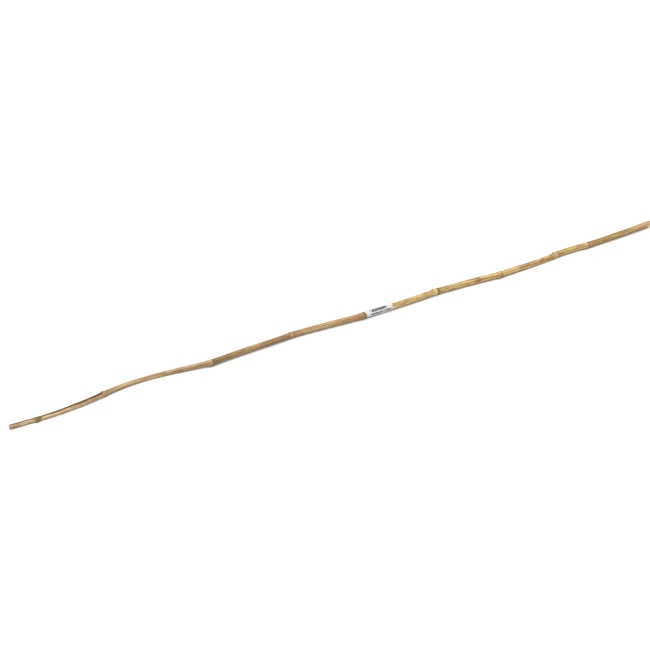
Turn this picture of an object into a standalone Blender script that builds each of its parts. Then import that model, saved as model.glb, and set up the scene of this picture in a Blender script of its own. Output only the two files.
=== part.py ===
"""A bamboo garden cane, 1.2 m long and 6 to 9 mm thick, with a paper label wrapped round its middle.

The cane lies along X with its thin tip at -X and its thick base at +X. It rests on three low spots at z = 0.
All sizes below are in millimetres, and MM turns them into Blender's metres.
"""

import math

import bmesh
import bpy
from mathutils import Vector

MM = 0.001

# The cane's two sawn ends, along X
TIP_END = -600.0
BASE_END = 600.0

# The axis of the cane at its ends: sideways, height
TIP_END_AXIS = (0.0, 4.6)
BASE_END_AXIS = (0.0, 7.0)

# The nodes, from the tip to the base. At each one: its place along X, the axis sideways and its height, how far
# the ridge stands out, and the side that its bud is on (+1 for +Y, -1 for -Y). Buds change sides at each node.
NODES = (
    {"along": -554.0, "sideways": -1.6, "height": 3.65, "ridge": 0.80, "bud": -1},
    {"along": -441.0, "sideways": 7.4, "height": 5.7, "ridge": 0.50, "bud": 1},
    {"along": -265.0, "sideways": -1.4, "height": 6.5, "ridge": 0.85, "bud": -1},
    {"along": -116.0, "sideways": 5.2, "height": 6.4, "ridge": 0.50, "bud": 1},
    {"along": 9.0, "sideways": -4.2, "height": 6.6, "ridge": 0.90, "bud": -1},
    {"along": 152.0, "sideways": -1.4, "height": 6.5, "ridge": 0.90, "bud": 1},
    {"along": 275.0, "sideways": -10.4, "height": 6.1, "ridge": 0.65, "bud": -1},
    {"along": 396.0, "sideways": -3.6, "height": 5.7, "ridge": 0.65, "bud": 1},
    {"along": 460.0, "sideways": -5.2, "height": 5.9, "ridge": 0.60, "bud": -1},
)

# The internodes between them, from the tip to the base: diameter at the tip side and at the base side, how far
# the middle bows sideways and up, and how much of the bow lies towards the tip.
INTERNODES = (
    {"tip_dia": 6.2, "base_dia": 6.2, "bow": 0.3, "lift": 0.0, "skew": 0.0},
    {"tip_dia": 6.3, "base_dia": 6.8, "bow": -3.2, "lift": 0.4, "skew": 0.0},
    {"tip_dia": 6.9, "base_dia": 7.1, "bow": 11.0, "lift": -2.7, "skew": 0.4},
    {"tip_dia": 8.2, "base_dia": 7.9, "bow": 0.6, "lift": 0.1, "skew": 1.5},
    {"tip_dia": 8.0, "base_dia": 8.6, "bow": 0.6, "lift": 0.1, "skew": 1.5},
    {"tip_dia": 8.8, "base_dia": 8.8, "bow": -1.2, "lift": 0.1, "skew": -0.6},
    {"tip_dia": 8.8, "base_dia": 9.0, "bow": 0.8, "lift": 0.2, "skew": 0.0},
    {"tip_dia": 9.0, "base_dia": 9.2, "bow": -0.8, "lift": -1.1, "skew": -1.2},
    {"tip_dia": 9.3, "base_dia": 9.3, "bow": 1.4, "lift": 0.1, "skew": 0.0},
    {"tip_dia": 9.1, "base_dia": 8.9, "bow": -1.2, "lift": 0.1, "skew": -0.5},
)

# The cane turns from one internode to the next over this distance on each side of a node
KINK_REACH = 7.0

# A node's shape: the thin scar of the fallen sheath, and the rounder ridge on its tip side
SCAR_SHARE = 0.75
SCAR_HALF_WIDTH = 1.0
RIDGE_FROM_SCAR = 4.6
RIDGE_HALF_WIDTH = 2.6
FLARE_SHARE = 0.30
FLARE_HALF_WIDTH = 9.0
STEP_START = -5.0
STEP_END = 9.0

# A trimmed bud, which stands between the scar and the ridge
BUD_FROM_SCAR = 3.0
BUD_HEIGHT = 1.3
BUD_RADIUS = 1.9
BUD_RISE = 14.0

# The shallow groove that runs from each bud towards the tip. It deepens over its run-in, and stays as deep for
# this share of its length.
GROOVE_DEPTH = 0.28
GROOVE_HALF_ANGLE = 26.0
GROOVE_LENGTH = 75.0
GROOVE_RUN_IN = 8.0
GROOVE_FULL_SHARE = 0.4

# The sawn ends, with the small pith hole open at each, a little narrower at its floor
EDGE_BEVEL = 0.35
TIP_PITH_RADIUS = 1.0
TIP_PITH_DEPTH = 9.0
BASE_PITH_RADIUS = 1.7
BASE_PITH_DEPTH = 14.0
PITH_FLOOR_SHARE = 0.8

# The paper label, wrapped once round the cane beside a node
LABEL_START = 13.0
LABEL_END = 63.0
LABEL_GAP = 0.3
LABEL_THICKNESS = 0.5

# Points this near the surface that the cane lies on are worn flat onto it
SEAT_REACH = 0.3

# The mesh
SIDES = 20
NODE_RINGS = (-20.0, -12.0, -5.0, -1.6, -0.5, 0.6, 1.8, 3.2, 4.6, 6.4, 9.0, 14.0, 20.0)
LONGEST_RING_STEP = 20.0
LABEL_RINGS = 6
AXIS_SAMPLES = ((-1.0, 1.0), (-0.5, 2.0), (0.0, 3.0), (0.5, 2.0), (1.0, 1.0))
SHARP_ANGLE = math.radians(40.0)

# The plain colours and roughness of the two materials
BAMBOO_COLOUR = (0.53, 0.34, 0.14)
BAMBOO_ROUGHNESS = 0.45
LABEL_COLOUR = (0.86, 0.86, 0.84)
LABEL_ROUGHNESS = 0.65


def joint_points():
    """The ends and nodes in order, each as (along, sideways, height)."""
    nodes = [(node["along"], node["sideways"], node["height"]) for node in NODES]
    return [(TIP_END, *TIP_END_AXIS), *nodes, (BASE_END, *BASE_END_AXIS)]


def internode_at(along):
    """The internode that holds this place, its two end points and the share of the way between them."""
    points = joint_points()
    index = sum(1 for node in NODES if along >= node["along"])
    start = points[index]
    end = points[index + 1]
    return INTERNODES[index], start, end, (along - start[0]) / (end[0] - start[0])


def plain_axis(along):
    """Sideways place and height of the axis, with sharp turns at the nodes."""
    internode, start, end, share = internode_at(along)
    shape = 4 * share * (1 - share) * (1 + internode["skew"] * (1 - 2 * share))
    sideways = start[1] + share * (end[1] - start[1]) + shape * internode["bow"]
    height = start[2] + share * (end[2] - start[2]) + shape * internode["lift"]
    return sideways, height


def axis_point(along):
    """The axis with its turns rounded off, as a weighted mean of points near this place."""
    total = sum(weight for _, weight in AXIS_SAMPLES)
    sideways = 0.0
    height = 0.0
    for step, weight in AXIS_SAMPLES:
        near = plain_axis(along + step * KINK_REACH)
        sideways += near[0] * weight / total
        height += near[1] * weight / total
    return Vector((along, sideways, height))


def hill(distance, half_width):
    """A smooth hill of height 1 at distance 0."""
    return math.exp(-((distance / half_width) ** 2))


def smooth_step(start, end, value):
    """Rises smoothly from 0 at start to 1 at end."""
    share = min(max((value - start) / (end - start), 0.0), 1.0)
    return share * share * (3 - 2 * share)


def internode_radius(index, along):
    """Radius of one internode, taken on past its ends."""
    points = joint_points()
    share = (along - points[index][0]) / (points[index + 1][0] - points[index][0])
    internode = INTERNODES[index]
    return (internode["tip_dia"] + share * (internode["base_dia"] - internode["tip_dia"])) / 2


def round_radius(along):
    """Radius of the cane without its buds and grooves."""
    radius = internode_radius(0, along)
    for index, node in enumerate(NODES):
        beyond = smooth_step(node["along"] - STEP_END, node["along"] - STEP_START, along)
        radius += beyond * (internode_radius(index + 1, along) - radius)
    for node in NODES:
        above = node["along"] - along
        scar = SCAR_SHARE * hill(above, SCAR_HALF_WIDTH)
        ridge = hill(above - RIDGE_FROM_SCAR, RIDGE_HALF_WIDTH)
        flare = FLARE_SHARE * hill(above, FLARE_HALF_WIDTH)
        radius += node["ridge"] * (max(scar, ridge * (1 - FLARE_SHARE)) + flare)
    return radius


def bud_angle(node):
    """The side that a node's bud is on, measured from +Y towards +Z."""
    return math.radians(BUD_RISE if node["bud"] > 0 else 180.0 - BUD_RISE)


def angle_between(a, b):
    """The smallest turn from one angle to another."""
    return abs((a - b + math.pi) % (2 * math.pi) - math.pi)


def surface_radius(along, angle):
    """Radius of the cane on one side of it, with the buds and the grooves above them."""
    radius = round_radius(along)
    for node in NODES:
        above = node["along"] - along
        turn = angle_between(angle, bud_angle(node))
        across = turn * radius
        bud = hill(math.hypot(above - BUD_FROM_SCAR, across), BUD_RADIUS)
        starts = smooth_step(RIDGE_FROM_SCAR, RIDGE_FROM_SCAR + GROOVE_RUN_IN, above)
        fades = 1 - smooth_step(GROOVE_FULL_SHARE * GROOVE_LENGTH, GROOVE_LENGTH, above)
        groove = starts * fades * hill(math.degrees(turn), GROOVE_HALF_ANGLE)
        radius += BUD_HEIGHT * bud - GROOVE_DEPTH * groove
    return radius


def cross_frame(along):
    """The two directions across the cane at this place: sideways and up."""
    tangent = (axis_point(along + 1.0) - axis_point(along - 1.0)).normalized()
    sideways = Vector((0, 0, 1)).cross(tangent).normalized()
    return sideways, tangent.cross(sideways)


def ring_points(along, radius_at, seated=False):
    """One ring of points round the axis. Where it is seated, its lowest points lie flat on the surface."""
    centre = axis_point(along)
    sideways, up = cross_frame(along)
    points = []
    for side in range(SIDES):
        angle = 2 * math.pi * side / SIDES
        radius = radius_at(along, angle)
        point = centre + radius * (math.cos(angle) * sideways + math.sin(angle) * up)
        if seated and point.z < SEAT_REACH:
            point.z = 0.0
        points.append(point)
    return points


def ring_places():
    """Places of the rings along the cane: close together at each node, wider apart between them."""
    places = {TIP_END + EDGE_BEVEL, BASE_END - EDGE_BEVEL}
    for node in NODES:
        places.update(node["along"] - above for above in NODE_RINGS)
    places = sorted(places)
    filled = []
    for start, end in zip(places, places[1:]):
        steps = max(1, math.ceil((end - start) / LONGEST_RING_STEP))
        filled.extend(start + (end - start) * step / steps for step in range(steps))
    return [*filled, places[-1]]


def skin(mesh, rings):
    """Joins rings of vertices, in order, with bands of faces."""
    for ring, following in zip(rings, rings[1:]):
        for side in range(SIDES):
            beside = (side + 1) % SIDES
            mesh.faces.new((ring[side], ring[beside], following[beside], following[side]))


def add_ring(mesh, points):
    """Adds the points to the mesh as vertices."""
    return [mesh.verts.new(point * MM) for point in points]


def end_rings(end, inwards, pith_radius, pith_depth):
    """Rings of a sawn end, from its outer edge over the face and down the pith hole."""
    edge = ring_points(end, lambda along, angle: surface_radius(along, angle) - EDGE_BEVEL)
    mouth = ring_points(end, lambda along, angle: pith_radius)
    floor = ring_points(end + inwards * pith_depth, lambda along, angle: pith_radius * PITH_FLOOR_SHARE)
    return [edge, mouth, floor]


def make_cane():
    """The cane as one closed body: a skin over its rings, with a blind pith hole in each sawn end."""
    mesh = bmesh.new()
    tip = end_rings(TIP_END, 1, TIP_PITH_RADIUS, TIP_PITH_DEPTH)
    base = end_rings(BASE_END, -1, BASE_PITH_RADIUS, BASE_PITH_DEPTH)
    middle = [ring_points(along, surface_radius, seated=True) for along in ring_places()]
    rings = [add_ring(mesh, points) for points in [*reversed(tip), *middle, *base]]
    skin(mesh, rings)
    mesh.faces.new(reversed(rings[0]))
    mesh.faces.new(rings[-1])
    return finish_mesh(mesh, "cane")


def label_ring(along, thickness):
    """A ring of the label this far out from its inner side, which is clear of the cane all round."""
    widest = max(surface_radius(along, 2 * math.pi * side / SIDES) for side in range(SIDES))
    return ring_points(along, lambda place, angle: widest + LABEL_GAP + thickness)


def make_label():
    """The label as a closed sleeve of paper round the cane."""
    mesh = bmesh.new()
    step = (LABEL_END - LABEL_START) / (LABEL_RINGS - 1)
    places = [LABEL_START + step * index for index in range(LABEL_RINGS)]
    outer = [add_ring(mesh, label_ring(along, LABEL_THICKNESS)) for along in places]
    inner = [add_ring(mesh, label_ring(along, 0.0)) for along in reversed(places)]
    skin(mesh, [*outer, *inner, outer[0]])
    return finish_mesh(mesh, "label")


def finish_mesh(mesh, name):
    """Turns a bmesh into an object whose faces point out, shaded smooth."""
    bmesh.ops.recalc_face_normals(mesh, faces=mesh.faces)
    data = bpy.data.meshes.new(name)
    mesh.to_mesh(data)
    mesh.free()
    data.shade_smooth()
    data.set_sharp_from_angle(angle=SHARP_ANGLE)
    piece = bpy.data.objects.new(name, data)
    bpy.context.collection.objects.link(piece)
    return piece


def plain_material(name, colour, roughness):
    """A Principled material of one colour."""
    material = bpy.data.materials.new(name)
    material.use_nodes = True
    shader = material.node_tree.nodes["Principled BSDF"]
    shader.inputs["Base Color"].default_value = (*colour, 1.0)
    shader.inputs["Roughness"].default_value = roughness
    shader.inputs["Metallic"].default_value = 0.0
    return material


def centre_on_floor(pieces, main):
    """Moves the pieces so that the origin is under the middle of the main piece's box."""
    corners = [vertex.co for vertex in main.data.vertices]
    middle_x = (min(c.x for c in corners) + max(c.x for c in corners)) / 2
    middle_y = (min(c.y for c in corners) + max(c.y for c in corners)) / 2
    for piece in pieces:
        for vertex in piece.data.vertices:
            vertex.co.x -= middle_x
            vertex.co.y -= middle_y


for old in list(bpy.data.objects):
    bpy.data.objects.remove(old, do_unlink=True)

cane = make_cane()
cane.data.materials.append(plain_material("bamboo", BAMBOO_COLOUR, BAMBOO_ROUGHNESS))

label = make_label()
label.data.materials.append(plain_material("label_paper", LABEL_COLOUR, LABEL_ROUGHNESS))

centre_on_floor([cane, label], cane)
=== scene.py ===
"""Looks of a bamboo garden cane lying on a pale floor, with a paper label wrapped round its middle.

Sizes are in millimetres unless a name says otherwise. Colours are the values that a screen shows.
"""

import math
import random

import bpy
import numpy as np
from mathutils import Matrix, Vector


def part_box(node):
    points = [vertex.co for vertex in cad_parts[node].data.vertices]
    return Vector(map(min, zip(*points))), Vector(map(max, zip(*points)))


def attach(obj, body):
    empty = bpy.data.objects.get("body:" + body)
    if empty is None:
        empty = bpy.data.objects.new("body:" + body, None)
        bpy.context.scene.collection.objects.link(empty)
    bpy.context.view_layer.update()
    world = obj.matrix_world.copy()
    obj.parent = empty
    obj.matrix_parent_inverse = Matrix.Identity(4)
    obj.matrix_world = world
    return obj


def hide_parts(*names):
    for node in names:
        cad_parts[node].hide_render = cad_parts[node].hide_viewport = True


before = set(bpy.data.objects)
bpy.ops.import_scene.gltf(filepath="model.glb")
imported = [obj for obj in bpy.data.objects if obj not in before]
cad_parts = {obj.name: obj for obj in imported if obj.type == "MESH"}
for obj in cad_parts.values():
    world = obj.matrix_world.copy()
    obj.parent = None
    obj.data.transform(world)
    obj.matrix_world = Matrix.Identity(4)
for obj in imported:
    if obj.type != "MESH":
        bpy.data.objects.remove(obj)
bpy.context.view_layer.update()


# The camera looks down on the cane from beyond its thin end, from 3.2 m away with a long lens,
# as a catalogue picture of something this long is taken.
VIEW_TURN = math.radians(32.32)
VIEW_DROP = math.radians(30.0)
VIEW_DISTANCE_M = 3.2
VIEW_AIM_M = (-0.0527, 0.0105, 0.0)
LENS = 112.4
SENSOR = 36.0

camera_data = bpy.data.cameras.new("camera")
camera_data.lens = LENS
camera_data.sensor_width = SENSOR
camera_data.clip_end = 50.0
camera = bpy.data.objects.new("camera", camera_data)
bpy.context.scene.collection.objects.link(camera)
camera.location = (
    VIEW_AIM_M[0] - VIEW_DISTANCE_M * math.sin(VIEW_TURN) * math.cos(VIEW_DROP),
    VIEW_AIM_M[1] - VIEW_DISTANCE_M * math.cos(VIEW_TURN) * math.cos(VIEW_DROP),
    VIEW_AIM_M[2] + VIEW_DISTANCE_M * math.sin(VIEW_DROP),
)
camera.rotation_euler = (math.pi / 2 - VIEW_DROP, 0.0, -VIEW_TURN)
bpy.context.scene.camera = camera


# The floor is a wide sheet of white studio paper, plain and matt. It is lit until it shows as
# white, so only the soft shadow beside the cane is seen on it.
MM = 0.001
FLOOR_SIZE = 30000.0
FLOOR_WHITE = (246, 246, 246)
FLOOR_ROUGHNESS = 0.9
FLOOR_SHINE = 0.1


def paint(red, green, blue):
    """A colour for a shader socket, from the values that a screen shows."""
    screen = [value / 255 for value in (red, green, blue)]
    light = [value / 12.92 if value <= 0.04045 else ((value + 0.055) / 1.055) ** 2.4 for value in screen]
    return (*light, 1.0)


def new_material(name):
    """A material with a Principled shader, as (material, node tree, shader)."""
    material = bpy.data.materials.new(name)
    material.use_nodes = True
    return material, material.node_tree, material.node_tree.nodes["Principled BSDF"]


def new_piece(name, points, faces, *materials):
    """A smooth-shaded mesh object made of points in millimetres."""
    data = bpy.data.meshes.new(name)
    data.from_pydata((np.asarray(points) * MM).tolist(), [], faces)
    for material in materials:
        data.materials.append(material)
    data.shade_smooth()
    piece = bpy.data.objects.new(name, data)
    bpy.context.scene.collection.objects.link(piece)
    return piece


floor_paper, _, floor_shader = new_material("floor_paper")
floor_shader.inputs["Base Color"].default_value = paint(*FLOOR_WHITE)
floor_shader.inputs["Roughness"].default_value = FLOOR_ROUGHNESS
floor_shader.inputs["Specular IOR Level"].default_value = FLOOR_SHINE
floor_signs = ((-1, -1), (1, -1), (1, 1), (-1, 1))
floor_corners = [(x * FLOOR_SIZE / 2, y * FLOOR_SIZE / 2, 0.0) for x, y in floor_signs]
floor = new_piece("floor", floor_corners, [(0, 1, 2, 3)], floor_paper)


# The light comes from a wide bank of lamps overhead, a little towards the camera and so far off that
# it is even over the whole floor, in a white room that keeps the shadows pale.
LAMPS_TOWARDS_CAMERA = math.radians(7.0)
LAMPS_SPREAD = math.radians(62.0)
LAMPS_BRIGHTNESS = 3.0
ROOM_BRIGHTNESS = 0.30

lamps_data = bpy.data.lights.new("lamps", "SUN")
lamps_data.angle = LAMPS_SPREAD
lamps_data.energy = LAMPS_BRIGHTNESS
lamps = bpy.data.objects.new("lamps", lamps_data)
bpy.context.scene.collection.objects.link(lamps)
lamps.rotation_euler = (LAMPS_TOWARDS_CAMERA, 0.0, 0.0)

room = bpy.data.worlds.new("room")
bpy.context.scene.world = room
room.use_nodes = True
room.node_tree.nodes["Background"].inputs["Color"].default_value = (1.0, 1.0, 1.0, 1.0)
room.node_tree.nodes["Background"].inputs["Strength"].default_value = ROOM_BRIGHTNESS
bpy.context.scene.view_settings.view_transform = "Standard"
bpy.context.scene.view_settings.look = "None"


# The cane is one culm of bamboo, sawn at both ends and dried in the air, thinnest at its tip, at -X. Its
# skin is hard, streaked and satin. It turns a little at each node, where the fallen sheath left a ragged
# scar, with a rounder ridge, the stub of a trimmed branch and a shallow groove on the side of the tip.
TIP_END = -600.0
BASE_END = 600.0
TIP_END_AXIS = (0.0, 4.6)
BASE_END_AXIS = (0.0, 7.0)
# Each node: its place along and across, the height of its axis, how far its ridge stands out, and the side
# that its bud is on (+1 for +Y, -1 for -Y)
NODES = (
    {"along": -554.0, "sideways": -1.6, "height": 3.65, "ridge": 0.80, "bud": -1},
    {"along": -441.0, "sideways": 7.4, "height": 5.7, "ridge": 0.50, "bud": 1},
    {"along": -265.0, "sideways": -1.4, "height": 6.5, "ridge": 0.85, "bud": -1},
    {"along": -116.0, "sideways": 5.2, "height": 6.4, "ridge": 0.50, "bud": 1},
    {"along": 9.0, "sideways": -4.2, "height": 6.6, "ridge": 0.90, "bud": -1},
    {"along": 152.0, "sideways": -1.4, "height": 6.5, "ridge": 0.90, "bud": 1},
    {"along": 275.0, "sideways": -10.4, "height": 6.1, "ridge": 0.65, "bud": -1},
    {"along": 396.0, "sideways": -3.6, "height": 5.7, "ridge": 0.65, "bud": 1},
    {"along": 460.0, "sideways": -5.2, "height": 5.9, "ridge": 0.60, "bud": -1},
)
# How each node is marked: how far a pale band reaches from its scar towards the tip and how pale it is, or
# how mossy where that is below 0; how stained the other side of the scar is and how far that reaches; and how
# dark and wide the scar is
NODE_MARKS = (
    {"band": 8.0, "pale": -1.0, "stain": 0.9, "reach": 3.0, "mark": 0.7},
    {"band": 5.0, "pale": 0.0, "stain": 0.1, "reach": 3.0, "mark": 0.5},
    {"band": 6.0, "pale": 0.45, "stain": 0.75, "reach": 15.0, "mark": 0.5},
    {"band": 7.0, "pale": 0.3, "stain": 0.4, "reach": 4.0, "mark": 0.5},
    {"band": 6.0, "pale": 0.1, "stain": 0.2, "reach": 3.0, "mark": 0.8},
    {"band": 7.0, "pale": 0.55, "stain": 1.2, "reach": 6.0, "mark": 0.35},
    {"band": 7.0, "pale": 0.25, "stain": 0.4, "reach": 3.0, "mark": 0.9},
    {"band": 6.0, "pale": 0.5, "stain": 0.3, "reach": 2.5, "mark": 0.75},
    {"band": 7.0, "pale": 0.55, "stain": 0.3, "reach": 2.5, "mark": 0.75},
)
# Where a pale band starts, in millimetres above the scar, and where it ends, as a share of its length; where
# a stain starts; how far a node's mark reaches and how wide it is at least; a distance far from every mark,
# and one just past the ends
PALE_STARTS = (0.4, 1.2)
PALE_ENDS = (0.5, 1.3)
STAIN_STARTS = (0.3, -0.8)
MARK_REACH = 3.0
MARK_LEAST_WIDTH = 0.6
FAR_OFF = 30.0
BEYOND_END = 1.0
# Each internode: its thickness at both ends, how far it bows sideways and upwards, how far the bow is shifted
# towards the tip, and the colours that its skin goes from and to
INTERNODES = (
    {"tip_dia": 6.2, "base_dia": 6.2, "bow": 0.3, "lift": 0.0, "skew": 0.0, "tones": ("green", "straw")},
    {"tip_dia": 6.3, "base_dia": 6.8, "bow": -3.2, "lift": 0.4, "skew": 0.0, "tones": ("straw", "beige")},
    {"tip_dia": 6.9, "base_dia": 7.1, "bow": 11.0, "lift": -2.7, "skew": 0.4, "tones": ("drab", "rose")},
    {"tip_dia": 8.2, "base_dia": 7.9, "bow": 0.6, "lift": 0.1, "skew": 1.5, "tones": ("olive", "olive")},
    {"tip_dia": 8.0, "base_dia": 8.6, "bow": 0.6, "lift": 0.1, "skew": 1.5, "tones": ("tan", "honey")},
    {"tip_dia": 8.8, "base_dia": 8.8, "bow": -1.2, "lift": 0.1, "skew": -0.6, "tones": ("gold", "gold")},
    {"tip_dia": 8.8, "base_dia": 9.0, "bow": 0.8, "lift": 0.2, "skew": 0.0, "tones": ("gold", "gold")},
    {"tip_dia": 9.0, "base_dia": 9.2, "bow": -0.8, "lift": -1.1, "skew": -1.2, "tones": ("gold", "tan")},
    {"tip_dia": 9.3, "base_dia": 9.3, "bow": 1.4, "lift": 0.1, "skew": 0.0, "tones": ("gold", "gold")},
    {"tip_dia": 9.1, "base_dia": 8.9, "bow": -1.2, "lift": 0.1, "skew": -0.5, "tones": ("brass", "brass")},
)
# How far the turns of the axis are rounded off and with which weights, and from where to where at a node one
# internode's thickness goes over into the next one's
KINK_REACH = 7.0
KINK_SAMPLES = ((-1.0, 1.0), (-0.5, 2.0), (0.0, 3.0), (0.5, 2.0), (1.0, 1.0))
STEP_START = -5.0
STEP_END = 9.0

# The relief of a node and of the skin. Waves are given as how many, how many round the cane and how long
SCAR_SHARE = 0.66
SCAR_HALF_WIDTH = 0.50
SCAR_DIP = 1.1
SCAR_DIP_ANGLE = 38.0
SCAR_RAGGED = 0.16
SCAR_WAVES = (6, 17, 1.0)
RIDGE_FROM_SCAR = 4.6
RIDGE_HALF_WIDTH = 2.4
FLARE_SHARE = 0.30
FLARE_HALF_WIDTH = 9.0
FLUTE_HEIGHT = 0.05
FLUTE_FROM_SCAR = 8.0
FLUTE_HALF_LENGTH = 5.0
FLUTE_WAVES = (5, 19, 1.0)
BUD_FROM_SCAR = 3.0
BUD_RISE = 14.0
BUD_LENGTHENING = 1.2
STUB_HEIGHT = 1.25
STUB_RADIUS = 1.45
STUB_WALL = 0.75
STUB_RAGGED = 0.08
STUB_UNEVEN = 0.05
STUB_WAVES = (6, 30, 3.0)
STUB_PIT_DEPTH = 0.35
STUB_PIT_RADIUS = 0.45
COLLAR_HEIGHT = 0.16
COLLAR_WIDTH = 0.5
GROOVE_DEPTH = 0.28
GROOVE_HALF_ANGLE = 26.0
GROOVE_LENGTH = 75.0
GROOVE_RUN_IN = 8.0
GROOVE_FULL_SHARE = 0.4
LUMP_HEIGHT = 0.07
LUMP_WAVES = (9, 3, 34.0)
FIBRE_HEIGHT = 0.018
FIBRE_WAVES = (14, 34, 90.0)

# The sawn ends. A pith hole is given as its radius and depth
EDGE_BEVEL = 0.3
TIP_PITH = (1.0, 9.0)
BASE_PITH = (1.7, 14.0)
PITH_RAGGED = 0.10
PITH_WAVES = (5, 9, 1.0)
SAW_RIPPLE = 0.10
SAW_STROKES = (1.5, 4.0)
# The rings of a cut, as shares of the way from the pith hole out to its edge, and those of the hole: how deep
# each is, as a share of the hole's depth and a length more, and its share of the hole's radius
CUT_RINGS = (1.0, 0.82, 0.64, 0.40)
PITH_RINGS = ((0.0, 0.05, 1.15), (0.0, 0.5, 1.0), (0.5, 0.0, 0.92), (1.0, 0.0, 0.75), (1.0, 0.4, 0.3))

# A dark stripe runs along the upper far side of the thin end
STRIPE_ANGLE = 74.0
STRIPE_HALF_ANGLES = (48.0, 66.0)
STRIPE_END = -430.0
STRIPE_FADE = 30.0
STRIPE_BROKEN = 0.7
STRIPE_SHOWS = (1.04, 1.34)
STRIPE_COVER = 0.94
STRIPE_DULLNESS = 0.4

# The mesh: points round the cane, the spacing of its rings near a node and away from one, and its map
SIDES = 84
RING_ZONES = ((9.5, 20.0, 0.9), (-3.5, 9.5, 0.4), (-13.0, -3.5, 0.9))
PLAIN_SPACING = 1.9
MAP_ROWS = 7
MAP_ROWS_SHARE = 0.92
MAP_MARGIN = 0.012
MAP_MARGINS_ALONG = 2.2
MAP_MARGINS_AROUND = 4.0
MAP_DISC_SHARE = 0.42
TIP_DISC_ON_MAP = 0.05
BASE_DISC_ON_MAP = 0.15
CUT_RINGS_ON_MAP = (1.08, 1.0, 0.88, 0.77, 0.61, 0.40, 0.33, 0.25, 0.17, 0.09)
SEED = 11

# The finish of the skin, of the cuts and of the pith holes
STAIN_COVER = 0.9
MARK_BROKEN = 0.7
STUB_BROKEN = 0.5
SKIN_ROUGHNESS = 0.35
FIBRE_DULLNESS = 0.30
RAGGED_RELIEF = 0.25
CUT_ROUGHNESS = 0.8
PITH_ROUGHNESS = 0.95

# Colours of the skin, of marks on it and of the cut ends
TONES = {
    # The thin end's green and straw are its pale skin made paler still, as painted light on the thin end
    "green": (246, 246, 186),
    "straw": (254, 216, 164),
    "beige": (206, 164, 120),
    "drab": (166, 133, 88),
    "rose": (204, 166, 126),
    "olive": (136, 103, 52),
    "tan": (196, 150, 90),
    "honey": (204, 150, 82),
    "gold": (240, 203, 119),
    "brass": (196, 156, 64),
}
CREAM = (240, 212, 154)
ROSY = (196, 126, 96)
MOSSY = (160, 140, 56)
BARK = (118, 78, 38)
SCAR_BROWN = (122, 72, 26)
# The dark brown of the stripe along the upper far side of the thin end
STRIPE_DARK = (78, 44, 8)
STAIN = (120, 98, 26)
CUT_WOOD = (222, 194, 146)
CUT_FIBRE = (150, 108, 64)
# Painted shade for inside the pith holes, a dark brown
PITH_SHADE_BROWN = (96, 66, 40)


def plain_axis(along):
    """Sideways place and height of the axis at places along it, with sharp turns at the nodes."""
    places = [TIP_END, *[node["along"] for node in NODES], BASE_END]
    sides = [TIP_END_AXIS[0], *[node["sideways"] for node in NODES], BASE_END_AXIS[0]]
    heights = [TIP_END_AXIS[1], *[node["height"] for node in NODES], BASE_END_AXIS[1]]
    which = np.clip(np.searchsorted(places, along, side="right") - 1, 0, len(INTERNODES) - 1)
    start = np.take(places, which)
    share = (along - start) / (np.take(places, which + 1) - start)
    bow, lift, skew = (np.take([part[key] for part in INTERNODES], which) for key in ("bow", "lift", "skew"))
    shape = 4 * share * (1 - share) * (1 + skew * (1 - 2 * share))
    sideways = np.take(sides, which) * (1 - share) + np.take(sides, which + 1) * share + shape * bow
    height = np.take(heights, which) * (1 - share) + np.take(heights, which + 1) * share + shape * lift
    return np.stack([sideways, height], axis=-1)


def axis_points(along):
    """Points of the axis, with its turns rounded off."""
    total = sum(weight for _, weight in KINK_SAMPLES)
    across = sum(weight / total * plain_axis(along + step * KINK_REACH) for step, weight in KINK_SAMPLES)
    return np.column_stack([along, across])


def hill(distance, half_width):
    """A smooth hill of height 1 at distance 0."""
    return np.exp(-((distance / half_width) ** 2))


def smooth_step(start, end, value):
    """Rises smoothly from 0 at start to 1 at end."""
    share = np.clip((value - start) / (end - start), 0.0, 1.0)
    return share * share * (3 - 2 * share)


def turn_between(angle, middle):
    """The signed turn from one angle to others, at most half way round."""
    return (angle - middle + math.pi) % (2 * math.pi) - math.pi


def waves(draw, along, angle, count, rounds, length):
    """A smooth random pattern, about -1 to 1: up to so many waves round the cane, this long along it."""
    total = 0.0
    for _ in range(count):
        around = draw.randint(1, rounds)
        forward = draw.choice((-1, 1)) * draw.uniform(0.3, 1.0) * 2 * math.pi / length
        total = total + np.sin(around * angle + forward * along + draw.uniform(0, 2 * math.pi))
    return total / math.sqrt(count)


def internode_radius(index, along):
    """Radius of one internode, taken on past its ends."""
    places = [TIP_END, *[node["along"] for node in NODES], BASE_END]
    share = (along - places[index]) / (places[index + 1] - places[index])
    part = INTERNODES[index]
    return (part["tip_dia"] + share * (part["base_dia"] - part["tip_dia"])) / 2


def smooth_radius(along):
    """Radius of the cane without the relief of its nodes."""
    radius = internode_radius(0, along)
    for index, node in enumerate(NODES):
        beyond = smooth_step(node["along"] - STEP_END, node["along"] - STEP_START, along)
        radius = radius + beyond * (internode_radius(index + 1, along) - radius)
    return radius


def near_node(index, along, angle):
    """Distances above a node's plain line, above its ragged scar and from its bud, and the turn from it."""
    node = NODES[index]
    above = node["along"] - along
    turn = turn_between(angle, math.radians(BUD_RISE if node["bud"] > 0 else 180.0 - BUD_RISE))
    ragged = waves(random.Random(SEED + index), 0.0, angle, *SCAR_WAVES)
    above_scar = above + SCAR_DIP * hill(np.degrees(turn), SCAR_DIP_ANGLE) + SCAR_RAGGED * ragged
    from_bud = np.hypot((above - BUD_FROM_SCAR) / BUD_LENGTHENING, turn * smooth_radius(along))
    return above, above_scar, from_bud, turn


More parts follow.
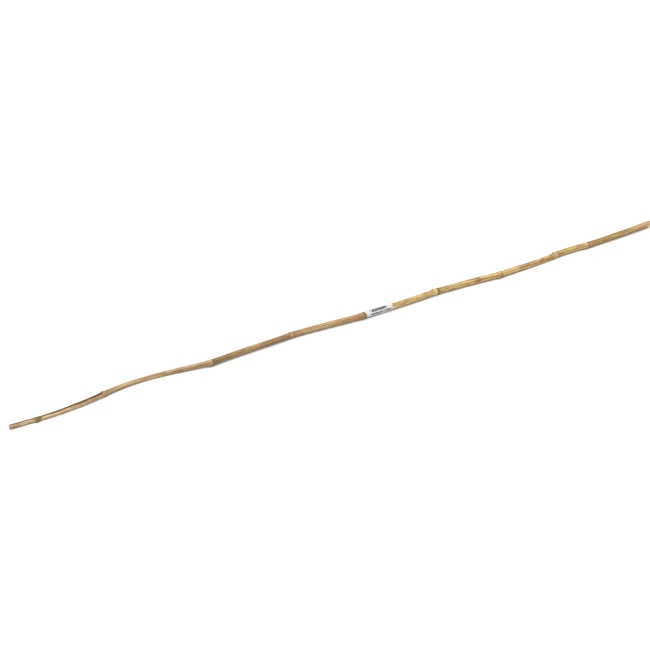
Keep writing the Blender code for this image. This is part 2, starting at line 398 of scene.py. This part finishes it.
def groove_share(above, turn):
    """How deep the groove above a bud is here, as a share of its depth."""
    starts = smooth_step(RIDGE_FROM_SCAR, RIDGE_FROM_SCAR + GROOVE_RUN_IN, above)
    fades = 1 - smooth_step(GROOVE_FULL_SHARE * GROOVE_LENGTH, GROOVE_LENGTH, above)
    return starts * fades * hill(np.degrees(turn), GROOVE_HALF_ANGLE)


def skin_radius(along, angle):
    """Radius of the cane at places along it and angles round it, with all its relief."""
    radius = smooth_radius(along) + 0.0 * angle
    for index, node in enumerate(NODES):
        above, above_scar, from_bud, turn = near_node(index, along, angle)
        scar = SCAR_SHARE * hill(above_scar, SCAR_HALF_WIDTH)
        ridge = (1 - FLARE_SHARE) * hill(above - RIDGE_FROM_SCAR, RIDGE_HALF_WIDTH)
        radius += node["ridge"] * (np.maximum(scar, ridge) + FLARE_SHARE * hill(above, FLARE_HALF_WIDTH))
        draw = random.Random(SEED * 10 + index)
        flutes = waves(draw, 0.0, angle, *FLUTE_WAVES) * hill(above - FLUTE_FROM_SCAR, FLUTE_HALF_LENGTH)
        radius += FLUTE_HEIGHT * flutes
        radius -= GROOVE_DEPTH * groove_share(above, turn)
        uneven = waves(draw, along, angle, *STUB_WAVES)
        stub = 1 - smooth_step(STUB_RADIUS, STUB_RADIUS + STUB_WALL, from_bud + STUB_RAGGED * uneven)
        radius += stub * (STUB_HEIGHT + STUB_UNEVEN * uneven)
        radius -= STUB_PIT_DEPTH * hill(from_bud, STUB_PIT_RADIUS)
        radius += COLLAR_HEIGHT * hill(from_bud - STUB_RADIUS - STUB_WALL, COLLAR_WIDTH)
    draw = random.Random(SEED * 100)
    radius += LUMP_HEIGHT * waves(draw, along, angle, *LUMP_WAVES)
    return radius + FIBRE_HEIGHT * waves(draw, along, angle, *FIBRE_WAVES)


def ring_places():
    """Places of the rings along the cane, close together at each node."""
    starts = [(TIP_END + EDGE_BEVEL, PLAIN_SPACING)]
    for node in NODES:
        starts.extend((node["along"] - high, spacing) for _, high, spacing in RING_ZONES)
        starts.append((node["along"] - RING_ZONES[-1][0], PLAIN_SPACING))
    starts.append((BASE_END - EDGE_BEVEL, PLAIN_SPACING))
    places = []
    for (start, spacing), (end, _) in zip(starts, starts[1:]):
        places.extend(np.linspace(start, end, max(1, round((end - start) / spacing)), endpoint=False))
    return np.array([*places, BASE_END - EDGE_BEVEL])


def ring_grid(along, radius, angle):
    """Points of rings round the axis: one row of points for each place along it."""
    centre = axis_points(along)
    tangent = axis_points(along + 1.0) - axis_points(along - 1.0)
    tangent /= np.linalg.norm(tangent, axis=1)[:, None]
    sideways = np.cross([0.0, 0.0, 1.0], tangent)
    sideways /= np.linalg.norm(sideways, axis=1)[:, None]
    up = np.cross(tangent, sideways)
    out = np.cos(angle)[..., None] * sideways[:, None, :] + np.sin(angle)[..., None] * up[:, None, :]
    return centre[:, None, :] + radius[:, :, None] * out


def tube_corners(rings, sides):
    """The corners of the faces between rings of points, as rings and sides, in order to look outwards."""
    ring, side = np.meshgrid(np.arange(rings - 1), np.arange(sides), indexing="ij")
    corner_rings = np.stack([ring, ring, ring + 1, ring + 1], axis=-1)
    return corner_rings, np.stack([side, side + 1, side + 1, side], axis=-1)


def sawn_end(end, inwards, pith, angle):
    """Places and radii of the rings of a sawn end, from its edge over the cut and down the pith hole."""
    radius, depth = pith
    ragged = radius * (1 + PITH_RAGGED * waves(random.Random(SEED + round(end)), 0.0, angle, *PITH_WAVES))
    edge = skin_radius(np.array([[end]]), angle) - EDGE_BEVEL
    rows = [(0.0, share * edge + (1 - share) * radius) for share in CUT_RINGS]
    rows += [(share * depth + more, ragged * width) for share, more, width in PITH_RINGS]
    return np.array([end + inwards * inside for inside, _ in rows]), np.vstack([row for _, row in rows])


angles = (np.arange(SIDES) * 2 * math.pi / SIDES)[None, :]
tip_along, tip_radius = sawn_end(TIP_END, 1, TIP_PITH, angles)
base_along, base_radius = sawn_end(BASE_END, -1, BASE_PITH, angles)
end_rings = len(tip_along)
side_along = ring_places()
ring_along = np.concatenate([tip_along[::-1], side_along, base_along])
ring_radius = np.vstack([tip_radius[::-1], skin_radius(side_along[:, None], angles), base_radius])
ring_points = ring_grid(ring_along, ring_radius, angles)
ring_points[..., 2] = np.maximum(ring_points[..., 2], 0.0)

# The saw leaves ripples over the rings of each cut inside its edge, sunk into the cane
tip_rings = slice(end_rings - len(CUT_RINGS), end_rings - 1)
base_rings = slice(1 - end_rings, len(CUT_RINGS) - end_rings)
for rings, inwards in ((tip_rings, 1), (base_rings, -1)):
    ripple = np.sin(ring_points[rings, :, 1] * SAW_STROKES[0] + ring_points[rings, :, 2] * SAW_STROKES[1])
    ring_points[rings, :, 0] += inwards * SAW_RIPPLE * (0.5 + 0.5 * ripple)

# The cane lies where the CAD's cane does: with the middle of its length and of its width there
cane_low, cane_high = (np.array(corner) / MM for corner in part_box("cane"))
cane_shift = (cane_low + cane_high - ring_points.min(axis=(0, 1)) - ring_points.max(axis=(0, 1))) / 2
cane_shift[2] = 0.0
corner_rings, corner_sides = tube_corners(len(ring_along), SIDES)
cane_faces = (corner_rings * SIDES + corner_sides % SIDES).reshape(-1, 4).tolist()
cane_faces.append(list(range(SIDES))[::-1])
cane_faces.append(list(range((len(ring_along) - 1) * SIDES, len(ring_along) * SIDES)))


def feed(tree, socket, value):
    """Sets a shader input to a plain value, or joins another node's output to it."""
    if isinstance(value, bpy.types.NodeSocket):
        tree.links.new(value, socket)
    else:
        socket.default_value = value


def add_node(tree, kind, inputs, **settings):
    """Adds a shader node and fills its inputs, which are named or numbered."""
    made = tree.nodes.new(kind)
    for name, value in settings.items():
        setattr(made, name, value)
    for name, value in inputs.items():
        feed(tree, made.inputs[name], value)
    return made


def mix(tree, share, first, second):
    """Mixes two colours. The share says how much of the second one there is."""
    inputs = {0: share, 6: first, 7: second if isinstance(second, bpy.types.NodeSocket) else paint(*second)}
    return add_node(tree, "ShaderNodeMix", inputs, data_type="RGBA").outputs[2]


def from_to(tree, value, low, high, most=1.0):
    """Turns values from low to high into 0 to this most, smoothly. Low may be above high."""
    ends = {"Value": value, "From Min": low, "From Max": high, "To Max": most}
    return add_node(tree, "ShaderNodeMapRange", ends, interpolation_type="SMOOTHSTEP").outputs["Result"]


def sums(tree, operation, first, second):
    """One sum of two values."""
    return add_node(tree, "ShaderNodeMath", {0: first, 1: second}, operation=operation).outputs[0]


def stored(tree, name, output):
    """Reads a value that the mesh holds at its points."""
    return add_node(tree, "ShaderNodeAttribute", {}, attribute_name=name).outputs[output]


def split(tree, name):
    """The three values that the mesh holds under one name."""
    return add_node(tree, "ShaderNodeSeparateXYZ", {0: stored(tree, name, "Vector")}).outputs


def new_effect(name, inputs):
    """A node group that puts out one value, as (group, outputs of its inputs, its last node)."""
    group = bpy.data.node_groups.new(name, "ShaderNodeTree")
    group.interface.new_socket(name="Places", in_out="INPUT", socket_type="NodeSocketVector")
    for input_name in ("Across", "Along", "Shift", *inputs):
        group.interface.new_socket(name=input_name, in_out="INPUT", socket_type="NodeSocketFloat")
    group.interface.new_socket(name="Value", in_out="OUTPUT", socket_type="NodeSocketFloat")
    given = group.nodes.new("NodeGroupInput").outputs
    across = sums(group, "DIVIDE", 1.0, given["Across"])
    along = sums(group, "DIVIDE", 1.0, given["Along"])
    scale = add_node(group, "ShaderNodeCombineXYZ", {0: across, 1: across, 2: along}).outputs[0]
    shift = add_node(group, "ShaderNodeCombineXYZ", {0: given["Shift"], 1: given["Shift"], 2: given["Shift"]})
    moved = {0: given["Places"], 1: scale, 2: shift.outputs[0]}
    places = add_node(group, "ShaderNodeVectorMath", moved, operation="MULTIPLY_ADD").outputs["Vector"]
    return group, given, places


# Two effects: noise in patches of a given width and length, and scattered spots
patch_effect, patch_given, patch_places = new_effect("patches", ["Detail"])
patch_inputs = {"Vector": patch_places, "Scale": 1.0, "Detail": patch_given["Detail"]}
patch_noise = add_node(patch_effect, "ShaderNodeTexNoise", patch_inputs).outputs[0]
add_node(patch_effect, "NodeGroupOutput", {0: patch_noise})

spot_effect, spot_given, spot_places = new_effect("spots", ["Size", "Share"])
spot_cells = add_node(spot_effect, "ShaderNodeTexVoronoi", {"Vector": spot_places, "Scale": 1.0})
spot_draw = add_node(spot_effect, "ShaderNodeSeparateColor", {0: spot_cells.outputs["Color"]}).outputs[0]
spot_kept = sums(spot_effect, "LESS_THAN", spot_draw, spot_given["Share"])
spot_core = sums(spot_effect, "MULTIPLY", spot_given["Size"], 0.5)
spot_shape = from_to(spot_effect, spot_cells.outputs["Distance"], spot_given["Size"], spot_core)
add_node(spot_effect, "NodeGroupOutput", {0: sums(spot_effect, "MULTIPLY", spot_shape, spot_kept)})


def patches(tree, places, across, along, detail, shift):
    """Noise in patches this wide across the grain and this long along it, about 0.3 to 0.7."""
    inputs = {"Places": places, "Across": across, "Along": along, "Shift": shift, "Detail": detail}
    return add_node(tree, "ShaderNodeGroup", inputs, node_tree=patch_effect).outputs[0]


def spots(tree, places, across, along, size, share, shift):
    """Spots this far apart, of this size as a share of that, with this share of them there."""
    inputs = {"Places": places, "Across": across, "Along": along, "Shift": shift}
    inputs.update({"Size": size, "Share": share})
    return add_node(tree, "ShaderNodeGroup", inputs, node_tree=spot_effect).outputs[0]


bamboo_skin, skin_tree, skin_shader = new_material("bamboo_skin")
grain = stored(skin_tree, "grain", "Vector")
scar_gap, bud_gap, pale_band = split(skin_tree, "joint")
groove, stripe, below_scar = split(skin_tree, "wear_and_shade")
mark = stored(skin_tree, "mark", "Fac")

fibres = patches(skin_tree, grain, across=0.45, along=40.0, detail=3.0, shift=3.1)
streaks = patches(skin_tree, grain, across=1.6, along=90.0, detail=3.0, shift=7.7)
pale_streaks = patches(skin_tree, grain, across=1.1, along=60.0, detail=2.0, shift=12.3)
blotches = patches(skin_tree, grain, across=3.2, along=16.0, detail=4.0, shift=21.9)
rosy_blotches = patches(skin_tree, grain, across=4.0, along=22.0, detail=3.0, shift=33.3)
mossy_blotches = patches(skin_tree, grain, across=3.6, along=14.0, detail=3.0, shift=45.1)
ragged = patches(skin_tree, grain, across=0.7, along=1.4, detail=3.0, shift=51.5)

# Its colours in layers, the lowest first: the pattern, where that starts and is full, and how much it covers
skin = stored(skin_tree, "tone", "Color")
for pattern, starts, full, cover, colour in (
    (rosy_blotches, 0.47, 0.59, 0.65, ROSY),
    (mossy_blotches, 0.47, 0.58, 0.70, MOSSY),
    (blotches, 0.52, 0.62, 0.55, BARK),
    (streaks, 0.50, 0.62, 0.60, BARK),
    (pale_streaks, 0.50, 0.62, 0.55, CREAM),
    (fibres, 0.38, 0.64, 0.30, BARK),
):
    skin = mix(skin_tree, from_to(skin_tree, pattern, starts, full, cover), skin, colour)

# Painted shade in the groove, weathered small and long spots, and the dark stripe with its broken edge
short_spots = spots(skin_tree, grain, across=4.0, along=9.0, size=0.13, share=0.40, shift=5.0)
long_spots = spots(skin_tree, grain, across=7.0, along=30.0, size=0.10, share=0.35, shift=8.0)
for pattern, cover, colour in (
    # the groove is darkened as painted shade
    (groove, 0.22, BARK),
    (short_spots, 0.75, SCAR_BROWN),
    (long_spots, 0.60, SCAR_BROWN),
):
    skin = mix(skin_tree, sums(skin_tree, "MULTIPLY", pattern, cover), skin, colour)
stripe_edge = sums(skin_tree, "MULTIPLY", sums(skin_tree, "ADD", streaks, fibres), STRIPE_BROKEN)
stripe_shape = sums(skin_tree, "ADD", stripe, stripe_edge)
skin = mix(skin_tree, from_to(skin_tree, stripe_shape, *STRIPE_SHOWS, STRIPE_COVER), skin, STRIPE_DARK)

# Round a node: the pale band on the tip side of the scar, grime on its other side, and the scar
band_shape = sums(skin_tree, "MULTIPLY", pale_band, from_to(skin_tree, ragged, low=0.25, high=0.55))
skin = mix(skin_tree, band_shape, skin, CREAM)
skin = mix(skin_tree, sums(skin_tree, "MULTIPLY", below_scar, STAIN_COVER), skin, STAIN)
scar_edge = sums(skin_tree, "ADD", scar_gap, sums(skin_tree, "MULTIPLY", ragged, MARK_BROKEN))
scar_shape = sums(skin_tree, "MULTIPLY", from_to(skin_tree, scar_edge, low=1.25, high=0.70), mark)
skin = mix(skin_tree, scar_shape, skin, SCAR_BROWN)

# The trimmed stub: a dark wall, a paler cut top and, as painted shade, a dark pit in it, each from further in
# than the last
stub_edge = sums(skin_tree, "ADD", bud_gap, sums(skin_tree, "MULTIPLY", ragged, STUB_BROKEN))
for starts, full, cover, colour in (
    (2.75, 2.15, 0.50, BARK),
    (1.75, 1.35, 0.25, CUT_WOOD),
    # the dark pit is painted shade in the stub's hollow
    (0.95, 0.60, 0.80, SCAR_BROWN),
):
    skin = mix(skin_tree, from_to(skin_tree, stub_edge, starts, full, cover), skin, colour)
feed(skin_tree, skin_shader.inputs["Base Color"], skin)

# The skin is satin, duller along its fibres and on the stripe
skin_gloss = sums(skin_tree, "ADD", sums(skin_tree, "MULTIPLY", fibres, FIBRE_DULLNESS), SKIN_ROUGHNESS)
stripe_gloss = from_to(skin_tree, stripe_shape, *STRIPE_SHOWS, STRIPE_DULLNESS)
feed(skin_tree, skin_shader.inputs["Roughness"], sums(skin_tree, "ADD", skin_gloss, stripe_gloss))


def roughen(tree, shader, height, depth, strength):
    """Gives a surface a fine relief, this deep in millimetres."""
    relief = {"Strength": strength, "Distance": depth * MM, "Height": height}
    feed(tree, shader.inputs["Normal"], add_node(tree, "ShaderNodeBump", relief).outputs[0])


skin_height = sums(skin_tree, "ADD", fibres, sums(skin_tree, "MULTIPLY", ragged, RAGGED_RELIEF))
roughen(skin_tree, skin_shader, skin_height, depth=0.08, strength=0.5)

# The sawn wood is pale, with the ends of its fibres as brown dots, closer together under the skin
cut_end, cut_tree, cut_shader = new_material("cut_end")
cut_places = stored(cut_tree, "grain", "Vector")
from_pith = stored(cut_tree, "from_pith", "Fac")
inner_dots = spots(cut_tree, cut_places, across=0.75, along=40.0, size=0.42, share=0.9, shift=2.0)
outer_dots = spots(cut_tree, cut_places, across=0.42, along=40.0, size=0.46, share=0.9, shift=6.0)
cut_stains = patches(cut_tree, cut_places, across=1.6, along=40.0, detail=3.0, shift=9.0)
stained = from_to(cut_tree, cut_stains, low=0.35, high=0.75, most=0.4)
near_pith = from_to(cut_tree, from_pith, low=0.9, high=0.5, most=0.7)
near_skin = from_to(cut_tree, from_pith, low=0.5, high=0.8, most=0.8)
under_skin = from_to(cut_tree, from_pith, low=0.90, high=0.99, most=0.5)
cut = mix(cut_tree, stained, paint(*CUT_WOOD), CUT_FIBRE)
cut = mix(cut_tree, sums(cut_tree, "MULTIPLY", inner_dots, near_pith), cut, CUT_FIBRE)
cut = mix(cut_tree, sums(cut_tree, "MULTIPLY", outer_dots, near_skin), cut, BARK)
cut = mix(cut_tree, under_skin, cut, BARK)
feed(cut_tree, cut_shader.inputs["Base Color"], cut)
cut_shader.inputs["Roughness"].default_value = CUT_ROUGHNESS
roughen(cut_tree, cut_shader, cut_stains, depth=0.1, strength=0.6)

# Inside the pith holes and on their floors the wood is painted dark brown, as painted shade in the holes, and
# is dull
pith_wall, pith_tree, pith_shader = new_material("pith_wall")
pith_places = stored(pith_tree, "grain", "Vector")
pith_patches = patches(pith_tree, pith_places, across=0.6, along=2.0, detail=3.0, shift=4.0)
pith_stains = from_to(pith_tree, pith_patches, low=0.3, high=0.7)
pith_colour = mix(pith_tree, pith_stains, paint(*PITH_SHADE_BROWN), CUT_FIBRE)
feed(pith_tree, pith_shader.inputs["Base Color"], pith_colour)
pith_shader.inputs["Roughness"].default_value = PITH_ROUGHNESS

cane_points = (ring_points + cane_shift).reshape(-1, 3)
cane = new_piece("bamboo_cane", cane_points, cane_faces, bamboo_skin, cut_end, pith_wall)


def store(data, name, kind, values):
    """Keeps values at the points of a mesh, for its materials."""
    field = {"FLOAT": "value", "FLOAT_VECTOR": "vector", "FLOAT_COLOR": "color"}[kind]
    kept = data.attributes.new(name, kind, "POINT")
    kept.data.foreach_set(field, np.ascontiguousarray(values, float).ravel())


def bare_tone(along):
    """Colour of the bare skin at places along the cane, which changes at each node, with painted light on the
    thin end.
    """
    edges = [TIP_END - BEYOND_END, *[node["along"] for node in NODES], BASE_END + BEYOND_END]
    colours = np.zeros((len(along), 4))
    for part, start, end in zip(INTERNODES, edges, edges[1:]):
        inside = (along >= start) & (along < end)
        share = ((along[inside] - start) / (end - start))[:, None]
        first, second = (np.array(paint(*TONES[name])) for name in part["tones"])
        colours[inside] = first + share * (second - first)
    return colours


# What the materials need to know at each point of the cane
everywhere = np.broadcast_to(ring_along[:, None], ring_radius.shape)
angle_there = np.broadcast_to(angles, ring_radius.shape)
grain_places = np.stack([ring_radius * np.cos(angles), ring_radius * np.sin(angles), everywhere], axis=-1)
joint_fields = np.full((*ring_radius.shape, 3), FAR_OFF)
joint_fields[..., 2] = 0.0
wear_and_shade_fields = np.zeros_like(joint_fields)
mark_field = np.zeros_like(ring_radius)
for number, joint in enumerate(NODE_MARKS):
    above, above_scar, from_bud, turn = near_node(number, everywhere, angle_there)
    mark_gap = abs(above_scar) / (MARK_LEAST_WIDTH + joint["mark"])
    joint_fields[..., 0] = np.minimum(joint_fields[..., 0], mark_gap)
    joint_fields[..., 1] = np.minimum(joint_fields[..., 1], from_bud)
    pale = smooth_step(*PALE_STARTS, above_scar) * (1 - smooth_step(*PALE_ENDS, above / joint["band"]))
    joint_fields[..., 2] += max(joint["pale"], 0.0) * pale
    wear_and_shade_fields[..., 0] += groove_share(above, turn)
    stained = smooth_step(*STAIN_STARTS, above_scar) * hill(above_scar, joint["reach"])
    wear_and_shade_fields[..., 2] += joint["stain"] * stained + max(-joint["pale"], 0.0) * pale
    mark_field += joint["mark"] * hill(above_scar, MARK_REACH)
stripe_turn = np.degrees(turn_between(angle_there, math.radians(STRIPE_ANGLE)))
stripe_width = np.interp(everywhere, (TIP_END, STRIPE_END), STRIPE_HALF_ANGLES)
stripe_fades = 1 - smooth_step(STRIPE_END - STRIPE_FADE, STRIPE_END, everywhere)
wear_and_shade_fields[..., 1] = hill(stripe_turn, stripe_width) * stripe_fades
edge_radius = np.where(everywhere < 0, tip_radius[:1], base_radius[:1])
store(cane.data, "grain", "FLOAT_VECTOR", grain_places)
store(cane.data, "joint", "FLOAT_VECTOR", joint_fields)
store(cane.data, "wear_and_shade", "FLOAT_VECTOR", wear_and_shade_fields)
store(cane.data, "mark", "FLOAT", mark_field)
store(cane.data, "from_pith", "FLOAT", ring_radius / edge_radius)
store(cane.data, "tone", "FLOAT_COLOR", np.repeat(bare_tone(ring_along), SIDES, axis=0))

# The cuts and the pith holes, with their floors, have their own materials
skin_number, cut_number, pith_number = range(3)
hole_rows = len(PITH_RINGS) - 1
face_kinds = np.full((len(ring_along) - 1, SIDES), skin_number)
face_kinds[:end_rings] = cut_number
face_kinds[-end_rings:] = cut_number
face_kinds[:hole_rows] = pith_number
face_kinds[-hole_rows:] = pith_number
cane.data.polygons.foreach_set("material_index", [*face_kinds.ravel().tolist(), pith_number, pith_number])

# Its map for baking lays the skin out in rows, each a seventh of its length, with the cuts above them
row_length = (BASE_END - TIP_END) / MAP_ROWS
row = np.clip(((ring_along - TIP_END) / row_length).astype(int), 0, MAP_ROWS - 1)[corner_rings[..., :1]]
on_row = (ring_along[corner_rings] - TIP_END) / row_length - row
map_u = MAP_MARGIN + on_row * (1 - MAP_MARGINS_ALONG * MAP_MARGIN)
map_v = row + MAP_MARGIN + corner_sides / SIDES * (1 - MAP_MARGINS_AROUND * MAP_MARGIN)
map_v = map_v * MAP_ROWS_SHARE / MAP_ROWS
disc_v = (1 + MAP_ROWS_SHARE) / 2
disc_size = (1 - MAP_ROWS_SHARE) * MAP_DISC_SHARE
for rings, disc_u, ring_order in (
    (slice(0, end_rings), TIP_DISC_ON_MAP, CUT_RINGS_ON_MAP[::-1]),
    (slice(-end_rings, None), BASE_DISC_ON_MAP, CUT_RINGS_ON_MAP),
):
    first_ring = corner_rings[rings][0, 0, 0]
    reach = np.take(ring_order, corner_rings[rings] - first_ring) * disc_size
    map_u[rings] = disc_u + reach * np.cos(corner_sides[rings] * 2 * math.pi / SIDES)
    map_v[rings] = disc_v + reach * np.sin(corner_sides[rings] * 2 * math.pi / SIDES)
cap_reach = CUT_RINGS_ON_MAP[-1] * disc_size
cap_u, cap_v = cap_reach * np.cos(angles[0]), disc_v + cap_reach * np.sin(angles[0])
tip_cap = np.stack([TIP_DISC_ON_MAP + cap_u, cap_v], axis=-1)[::-1]
base_cap = np.stack([BASE_DISC_ON_MAP + cap_u, cap_v], axis=-1)
bake_map = np.concatenate([np.stack([map_u, map_v], axis=-1).reshape(-1, 2), tip_cap, base_cap])
cane.data.uv_layers.new(name="OFBake").uv.foreach_set("vector", bake_map.ravel())

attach(cane, "root")
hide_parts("cane")


# The label is a strip of white paper, wrapped once round the cane beside a node and stuck to itself
# where its ends lap, underneath. It carries plain printed marks in two rows.
LABEL_START = 12.2
LABEL_LENGTH = 50.3
LABEL_THICK = 0.13
LABEL_LAP = 5.0
LABEL_SEAM_ANGLE = 300.0
LABEL_TIGHT_GAP = 0.15
LABEL_LOOSE_GAP = 0.40
LABEL_LOOSE_ANGLE = 120.0
LABEL_SKEW = 1.0
LABEL_SLANT = 2.0
LABEL_SLANT_ANGLE = 55.0
LABEL_FLARE = 0.30
LABEL_FLARE_LENGTH = 5.0
LABEL_FAR_FLARE_SHARE = 0.5
LABEL_RUMPLE = 0.05
LABEL_RUMPLE_WAVES = (8, 5, 24.0)
LABEL_LAP_RAMP = 0.35
LABEL_LAP_GAP = 0.03
LABEL_ROUGHNESS = 0.62
LABEL_SHINE = 0.35
PAPER_FIBRE_RELIEF = 0.15
LABEL_AROUND = 120
LABEL_ALONG = 72
# Each printed row: its middle and half its height round the label, its start and end, and a mark's width
PRINT_ANGLE = 116.0
TOP_ROW = (0.0, 2.6, 7.5, 38.5, 2.3)
LOW_ROW = (5.5, 1.4, 8.5, 46.5, 1.7)
MARK_GAP = 0.09
MARK_HEIGHTS = 0.35
WORD_GAPS = 0.10
PRINT_BLUR = 0.06
MAP_CORNER = 0.01
MAP_SIZE = (0.62, 0.97)
MAP_INNER_SHIFT = 0.33
MAP_EDGE = 0.005
LABEL_WHITE = (224, 223, 220)
LABEL_GREY = (184, 183, 179)
LABEL_SPECK = (150, 108, 64)
INK = (22, 22, 26)

label_turn = 2 * math.pi + LABEL_LAP / smooth_radius(LABEL_START)
strip_around = np.linspace(0.0, 1.0, LABEL_AROUND)[None, :]
strip_along = np.linspace(0.0, 1.0, LABEL_ALONG)[:, None]
strip_place = LABEL_START + LABEL_LENGTH * strip_along
strip_angle = math.radians(LABEL_SEAM_ANGLE) + label_turn * strip_around + 0.0 * strip_along

# Paper bends one way only, so the wrap is a slight cone, from its widest place at each end
widest = skin_radius(strip_place, angles).max(axis=1)
first_radius, last_radius = widest[: LABEL_ALONG // 8].max(), widest[LABEL_ALONG // 2 :].max()
loose = 0.5 + 0.5 * np.cos(strip_angle - math.radians(LABEL_LOOSE_ANGLE))
near_end = hill(strip_along * LABEL_LENGTH, LABEL_FLARE_LENGTH)
far_end = hill((1 - strip_along) * LABEL_LENGTH, LABEL_FLARE_LENGTH)
flare = LABEL_FLARE * (near_end + LABEL_FAR_FLARE_SHARE * far_end)
rumple = LABEL_RUMPLE * waves(random.Random(SEED + 5), strip_place, strip_angle, *LABEL_RUMPLE_WAVES)
lapped = smooth_step(2 * math.pi - LABEL_LAP_RAMP, 2 * math.pi, strip_around * label_turn)
inner_radius = first_radius + strip_along * (last_radius - first_radius) + LABEL_TIGHT_GAP
inner_radius = inner_radius + loose * (LABEL_LOOSE_GAP + flare + rumple)
inner_radius = inner_radius + lapped * (LABEL_THICK + LABEL_LAP_GAP)

strip_points = np.stack([
    ring_grid(strip_place[:, 0], inner_radius + LABEL_THICK, strip_angle),
    ring_grid(strip_place[:, 0], inner_radius, strip_angle),
])
# The wrap closes a little out of true, and the end beside the node is cut aslant
strip_slant = -LABEL_SLANT * np.cos(strip_angle - math.radians(LABEL_SLANT_ANGLE)) * (1 - strip_along)
strip_points[..., 0] += LABEL_SKEW * (strip_around - 0.5) + strip_slant

# Each corner of a face is given as whether it is on the inner side, its row along and its column around
rows, columns = LABEL_ALONG - 1, LABEL_AROUND - 1
sheet_faces = []
for r in range(rows):
    for c in range(columns):
        sheet_faces.append(((0, r, c), (0, r, c + 1), (0, r + 1, c + 1), (0, r + 1, c)))
        sheet_faces.append(((1, r, c), (1, r + 1, c), (1, r + 1, c + 1), (1, r, c + 1)))
for c in range(columns):
    sheet_faces.append(((0, 0, c + 1), (0, 0, c), (1, 0, c), (1, 0, c + 1)))
    sheet_faces.append(((0, rows, c), (0, rows, c + 1), (1, rows, c + 1), (1, rows, c)))
for r in range(rows):
    sheet_faces.append(((0, r, 0), (0, r + 1, 0), (1, r + 1, 0), (1, r, 0)))
    sheet_faces.append(((0, r + 1, columns), (0, r, columns), (1, r, columns), (1, r + 1, columns)))
corner_inner, corner_row, corner_column = np.moveaxis(np.array(sheet_faces), -1, 0)
label_faces = ((corner_inner * LABEL_ALONG + corner_row) * LABEL_AROUND + corner_column).tolist()

label_paper, paper_tree, paper_shader = new_material("label_paper")
sheet = stored(paper_tree, "sheet", "Vector")
sheet_place = add_node(paper_tree, "ShaderNodeSeparateXYZ", {0: sheet}).outputs
soiling = patches(paper_tree, sheet, across=5.0, along=5.0, detail=4.0, shift=2.0)
paper_fibre = patches(paper_tree, sheet, across=0.25, along=0.25, detail=3.0, shift=6.0)
creases = patches(paper_tree, sheet, across=2.2, along=14.0, detail=2.0, shift=9.0)
specks = spots(paper_tree, sheet, across=6.0, along=6.0, size=0.05, share=0.4, shift=3.0)
soiled = from_to(paper_tree, soiling, low=0.45, high=0.75, most=0.6)
paper = mix(paper_tree, soiled, paint(*LABEL_WHITE), LABEL_GREY)
paper = mix(paper_tree, specks, paper, LABEL_SPECK)


def printed_row(centre, half_height, start, end, mark_width):
    """Where a row of printed marks is on the label. The marks differ in width and height."""
    cells = {"W": sums(paper_tree, "DIVIDE", sheet_place["Y"], mark_width), "Scale": 1.0}
    drawn = add_node(paper_tree, "ShaderNodeTexVoronoi", cells, voronoi_dimensions="1D")
    gaps = add_node(paper_tree, "ShaderNodeTexVoronoi", cells, voronoi_dimensions="1D")
    gaps.feature = "DISTANCE_TO_EDGE"
    draws = add_node(paper_tree, "ShaderNodeSeparateColor", {0: drawn.outputs["Color"]}).outputs
    top = from_to(paper_tree, draws[1], 0.0, 1.0, half_height * MARK_HEIGHTS)
    from_middle = sums(paper_tree, "ABSOLUTE", sums(paper_tree, "SUBTRACT", sheet_place["X"], centre), 0.0)
    inside = sums(paper_tree, "SUBTRACT", half_height, sums(paper_tree, "ADD", from_middle, top))
    shape = from_to(paper_tree, inside, -PRINT_BLUR, PRINT_BLUR)
    middle = sums(paper_tree, "MULTIPLY", drawn.outputs["W"], mark_width)
    shape = sums(paper_tree, "MULTIPLY", shape, sums(paper_tree, "GREATER_THAN", middle, start))
    shape = sums(paper_tree, "MULTIPLY", shape, sums(paper_tree, "LESS_THAN", middle, end))
    gap_edges = MARK_GAP - PRINT_BLUR / mark_width, MARK_GAP + PRINT_BLUR / mark_width
    shape = sums(paper_tree, "MULTIPLY", shape, from_to(paper_tree, gaps.outputs["Distance"], *gap_edges))
    return sums(paper_tree, "MULTIPLY", shape, sums(paper_tree, "GREATER_THAN", draws[0], WORD_GAPS))


worn = from_to(paper_tree, paper_fibre, low=0.20, high=0.40)
for print_row in (TOP_ROW, LOW_ROW):
    paper = mix(paper_tree, sums(paper_tree, "MULTIPLY", printed_row(*print_row), worn), paper, INK)

feed(paper_tree, paper_shader.inputs["Base Color"], paper)
paper_shader.inputs["Roughness"].default_value = LABEL_ROUGHNESS
paper_shader.inputs["Specular IOR Level"].default_value = LABEL_SHINE
paper_height = sums(paper_tree, "ADD", creases, sums(paper_tree, "MULTIPLY", paper_fibre, PAPER_FIBRE_RELIEF))
roughen(paper_tree, paper_shader, paper_height, depth=0.2, strength=0.5)

label = new_piece("paper_label", strip_points.reshape(-1, 3) + cane_shift, label_faces, label_paper)
print_turn = strip_angle - math.radians(PRINT_ANGLE + 360.0)
sheet_along = strip_place - LABEL_START + strip_slant
sheet_values = np.stack([print_turn * first_radius, sheet_along, 0.0 * sheet_along], axis=-1)
store(label.data, "sheet", "FLOAT_VECTOR", np.stack([sheet_values, sheet_values]))

# Its map for baking: the outer side with its thin edges round it, and the inner side beside it, squeezed
on_edge = np.concatenate([np.zeros(2 * rows * columns), np.ones(2 * columns + 2 * rows)])[:, None]
fold = MAP_EDGE * corner_inner * on_edge
map_u = MAP_CORNER + MAP_SIZE[0] * corner_column / columns + (1 - on_edge) * corner_inner * MAP_INNER_SHIFT
map_u = map_u - fold * (corner_column == 0) + fold * (corner_column == columns)
map_v = MAP_CORNER + MAP_SIZE[1] * corner_row / rows - fold * (corner_row == 0) + fold * (corner_row == rows)
label.data.uv_layers.new(name="OFBake").uv.foreach_set("vector", np.stack([map_u, map_v], axis=-1).ravel())

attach(label, "root")
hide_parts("label")
